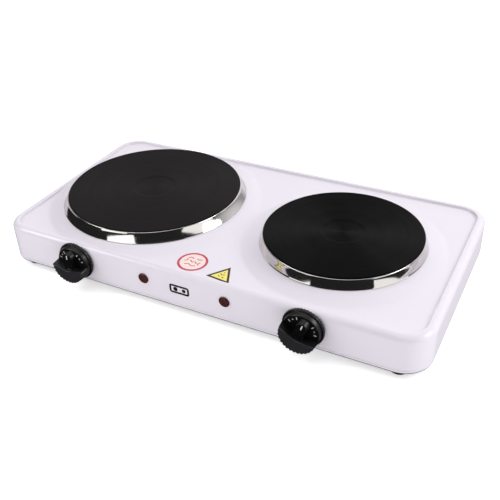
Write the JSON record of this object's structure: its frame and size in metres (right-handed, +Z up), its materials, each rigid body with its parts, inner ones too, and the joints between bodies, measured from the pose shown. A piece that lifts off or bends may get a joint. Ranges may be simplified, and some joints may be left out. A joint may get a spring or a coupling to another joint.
{
  "type": "hot plate burner",
  "caption": "Electric double hot plate: pale pressed-steel housing, a large and a small cast-iron plate in polished trim rings, turning knobs, red lamps and rubber feet.",
  "frame": {"origin": "middle of the whole part's box in plan, on the surface that the feet stand on", "axes": "+X to the user's right, -Y towards the user and the control panel, +Z up"},
  "size_m": [0.452, 0.2555, 0.06],
  "materials": {
    "enamelled_steel": "glossy pale lilac-white enamel on pressed steel",
    "base_steel": "satin pale enamel on steel sheet",
    "foot_rubber": "soft black rubber",
    "zinc_fasteners": "zinc-plated steel",
    "plated_steel": "zinc-plated steel sheet",
    "gland_nylon": "black nylon",
    "block_plastic": "pale moulded plastic",
    "brass": "plain brass",
    "cast_iron": "matt black heat-resisting coat on turned cast iron",
    "stainless_trim": "polished stainless steel, mirror-like",
    "heating_wire": "resistance wire",
    "magnesia": "pressed magnesia cement, matt",
    "steatite": "unglazed steatite",
    "spindle_steel": "turned steel",
    "knob_plastic": "black heat-resisting moulding",
    "lens_plastic": "dark red translucent moulding",
    "neon_glass": "glass neon lamp",
    "round_label": "printed film",
    "triangle_label": "printed film",
    "wire_brown": "brown sleeved wire",
    "wire_black": "black sleeved wire",
    "wire_blue": "blue sleeved wire",
    "wire_green": "green sleeved wire"
  },
  "bodies": {
    "base": {"top_housing": "enamelled_steel", "base_plate": "base_steel", "foot_front_left": "foot_rubber", "foot_front_right": "foot_rubber", "foot_rear_left": "foot_rubber", "foot_rear_right": "foot_rubber", "foot_screws": "zinc_fasteners", "base_screws": "zinc_fasteners", "inlet_gland": "gland_nylon", "terminal_block": "block_plastic", "terminal_screws": "brass", "earth_screw": "brass", "large_plate": "cast_iron", "large_trim_ring": "stainless_trim", "large_coil": "heating_wire", "large_insulation": "magnesia", "large_cover": "plated_steel", "large_terminal": "steatite", "large_stud": "zinc_fasteners", "large_clamp_bar": "plated_steel", "large_clamp_nut": "zinc_fasteners", "small_plate": "cast_iron", "small_trim_ring": "stainless_trim", "small_coil": "heating_wire", "small_insulation": "magnesia", "small_cover": "plated_steel", "small_terminal": "steatite", "small_stud": "zinc_fasteners", "small_clamp_bar": "plated_steel", "small_clamp_nut": "zinc_fasteners", "left_bracket": "plated_steel", "left_bushing": "brass", "left_thermostat": "steatite", "left_input_tab": "brass", "left_output_tab": "brass", "right_bracket": "plated_steel", "right_bushing": "brass", "right_thermostat": "steatite", "right_input_tab": "brass", "right_output_tab": "brass", "bracket_screws": "zinc_fasteners", "left_lens": "lens_plastic", "left_neon": "neon_glass", "right_lens": "lens_plastic", "right_neon": "neon_glass", "round_label": "round_label", "triangle_label": "triangle_label", "wire_live_left": "wire_brown", "wire_live_right": "wire_brown", "wire_load_left": "wire_black", "wire_load_right": "wire_black", "wire_neutral_left": "wire_blue", "wire_neutral_right": "wire_blue", "wire_earth": "wire_green"},
    "left_control": {"left_spindle": "spindle_steel", "left_knob": "knob_plastic"},
    "right_control": {"right_spindle": "spindle_steel", "right_knob": "knob_plastic"}
  },
  "joints": [
    {"name": "left_knob_turn", "type": "hinge", "parent": "base", "child": "left_control", "pos_m": [-0.128, -0.11225, 0.0305], "axis": [0, 1, 0], "range_deg": [0, 270]},
    {"name": "right_knob_turn", "type": "hinge", "parent": "base", "child": "right_control", "pos_m": [0.118, -0.11225, 0.0305], "axis": [0, 1, 0], "range_deg": [-20, 250]}
  ]
}
